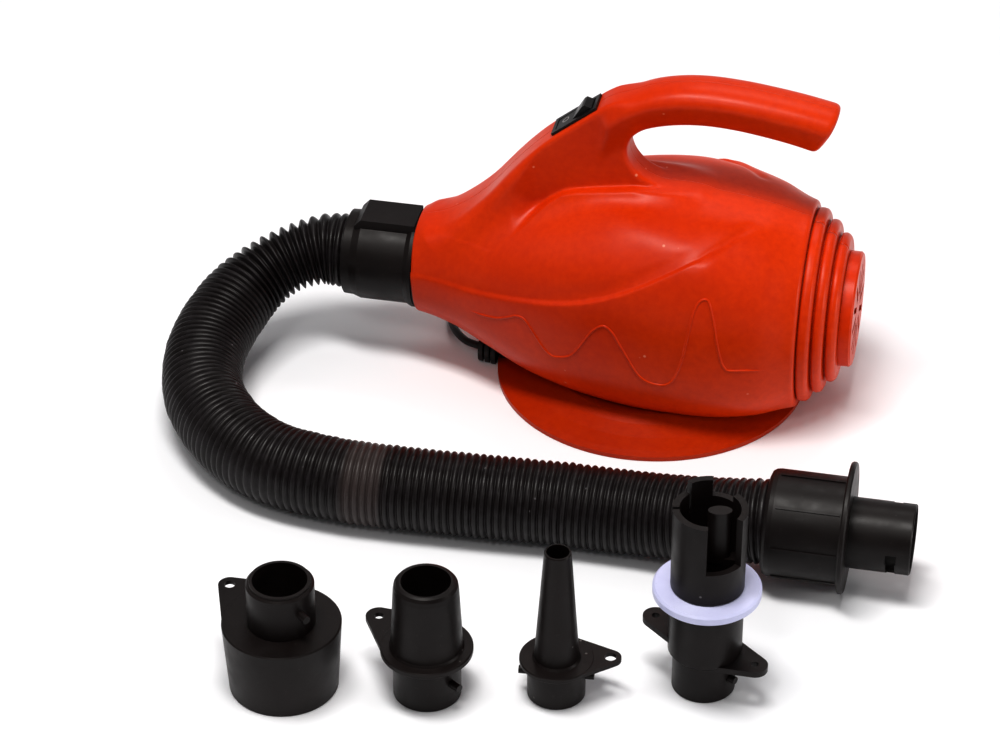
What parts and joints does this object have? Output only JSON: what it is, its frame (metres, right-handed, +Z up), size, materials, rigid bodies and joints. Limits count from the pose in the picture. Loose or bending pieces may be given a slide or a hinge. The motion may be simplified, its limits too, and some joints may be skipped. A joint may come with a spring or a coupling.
{
  "type": "electric air mattress pump",
  "caption": "Mains-powered hand-carried air pump with rocker switch, corrugated hose and four adaptors for the valves of air beds and inflatables.",
  "frame": {"origin": "centre of the round foot, on the floor", "axes": "-X out of the air outlet, +X out of the air intake, +Z up; the seam between the two housing shells is the XZ plane"},
  "size_m": [0.3918, 0.461, 0.1758],
  "materials": {
    "housing_plastic": "satin orange-red moulded plastic",
    "black_plastic": "satin black moulded plastic",
    "base_rubber": "black foam rubber",
    "screen_mesh": "dark grey moulded mesh",
    "screw_steel": "zinc-plated",
    "switch_plastic": "semi-gloss black",
    "terminal_brass": "dull",
    "lamination_steel": "stacked laminations, varnished",
    "winding_copper": "enamelled copper wire",
    "motor_plastic": "dark grey-black glass-filled plastic",
    "bearing_steel": "ground",
    "mount_rubber": "black rubber",
    "brush_carbon": "graphite",
    "suppressor_plastic": "yellow capacitor case",
    "lead_plastic": "blue insulation",
    "shaft_steel": "ground",
    "commutator_copper": "turned copper",
    "impeller_plastic": "off-white moulded plastic",
    "cord_rubber": "black flexible PVC",
    "tie_plastic": "black tie",
    "plug_brass": "nickel-free brass pins",
    "hose_plastic": "black corrugated polyethylene",
    "seal_rubber": "bluish white soft rubber"
  },
  "bodies": {
    "pump": {"shell_left": "housing_plastic", "shell_right": "housing_plastic", "foot": "housing_plastic", "base_plate": "black_plastic", "base_pad": "base_rubber", "outlet_duct": "black_plastic", "end_cap": "housing_plastic", "dust_screen": "screen_mesh", "shell_screws": "screw_steel", "foot_screws": "screw_steel", "switch_housing": "switch_plastic", "switch_terminals": "terminal_brass", "field_core": "lamination_steel", "field_coils": "winding_copper", "front_bracket": "motor_plastic", "rear_bracket": "motor_plastic", "bracket_screws": "screw_steel", "front_bearing": "bearing_steel", "rear_bearing": "bearing_steel", "mount_rings": "mount_rubber", "brush_holders": "terminal_brass", "carbon_brushes": "brush_carbon", "brush_springs": "screw_steel", "suppressor": "suppressor_plastic", "motor_leads": "lead_plastic", "diffuser": "motor_plastic", "fan_cover": "motor_plastic", "cord_clamp": "black_plastic", "strain_relief": "cord_rubber", "inner_cord": "cord_rubber", "power_cord": "cord_rubber", "cord_coil": "cord_rubber", "cord_tie": "tie_plastic", "plug_body": "cord_rubber", "plug_pins": "plug_brass", "hose_tube": "hose_plastic", "hose_end_cuff": "hose_plastic", "hose_end_tube": "black_plastic"},
    "rocker": {"switch_rocker": "switch_plastic"},
    "rotor": {"motor_shaft": "shaft_steel", "armature_core": "lamination_steel", "armature_windings": "winding_copper", "commutator": "commutator_copper", "impeller": "impeller_plastic", "impeller_nut": "screw_steel"},
    "hose_lock": {"hose_coupling": "black_plastic", "coupling_gasket": "base_rubber"},
    "large_adaptor": {"nozzle_large": "black_plastic"},
    "medium_adaptor": {"nozzle_medium": "black_plastic"},
    "small_adaptor": {"nozzle_small": "black_plastic"},
    "valve_adaptor_body": {"valve_adaptor": "black_plastic", "valve_seal_ring": "seal_rubber"}
  },
  "joints": [
    {"name": "rocker_tilt", "type": "hinge", "parent": "pump", "child": "rocker", "pos_m": [-0.04058, 0, 0.14782], "axis": [0, 1, 0], "range_deg": [0, 20]},
    {"name": "rotor_spin", "type": "hinge", "parent": "pump", "child": "rotor", "pos_m": [0, 0, 0.053], "axis": [1, 0, 0], "continuous": true},
    {"name": "coupling_twist", "type": "hinge", "parent": "pump", "child": "hose_lock", "pos_m": [-0.12, 0, 0.053], "axis": [1, 0, 0], "range_deg": [0, 30]},
    {"name": "large_adaptor_lift", "type": "slide", "parent": "pump", "child": "large_adaptor", "axis": [0, 0, 1], "range_m": [0, 0.15]},
    {"name": "medium_adaptor_lift", "type": "slide", "parent": "pump", "child": "medium_adaptor", "axis": [0, 0, 1], "range_m": [0, 0.15]},
    {"name": "small_adaptor_lift", "type": "slide", "parent": "pump", "child": "small_adaptor", "axis": [0, 0, 1], "range_m": [0, 0.15]},
    {"name": "valve_adaptor_lift", "type": "slide", "parent": "pump", "child": "valve_adaptor_body", "axis": [0, 0, 1], "range_m": [0, 0.15]}
  ]
}
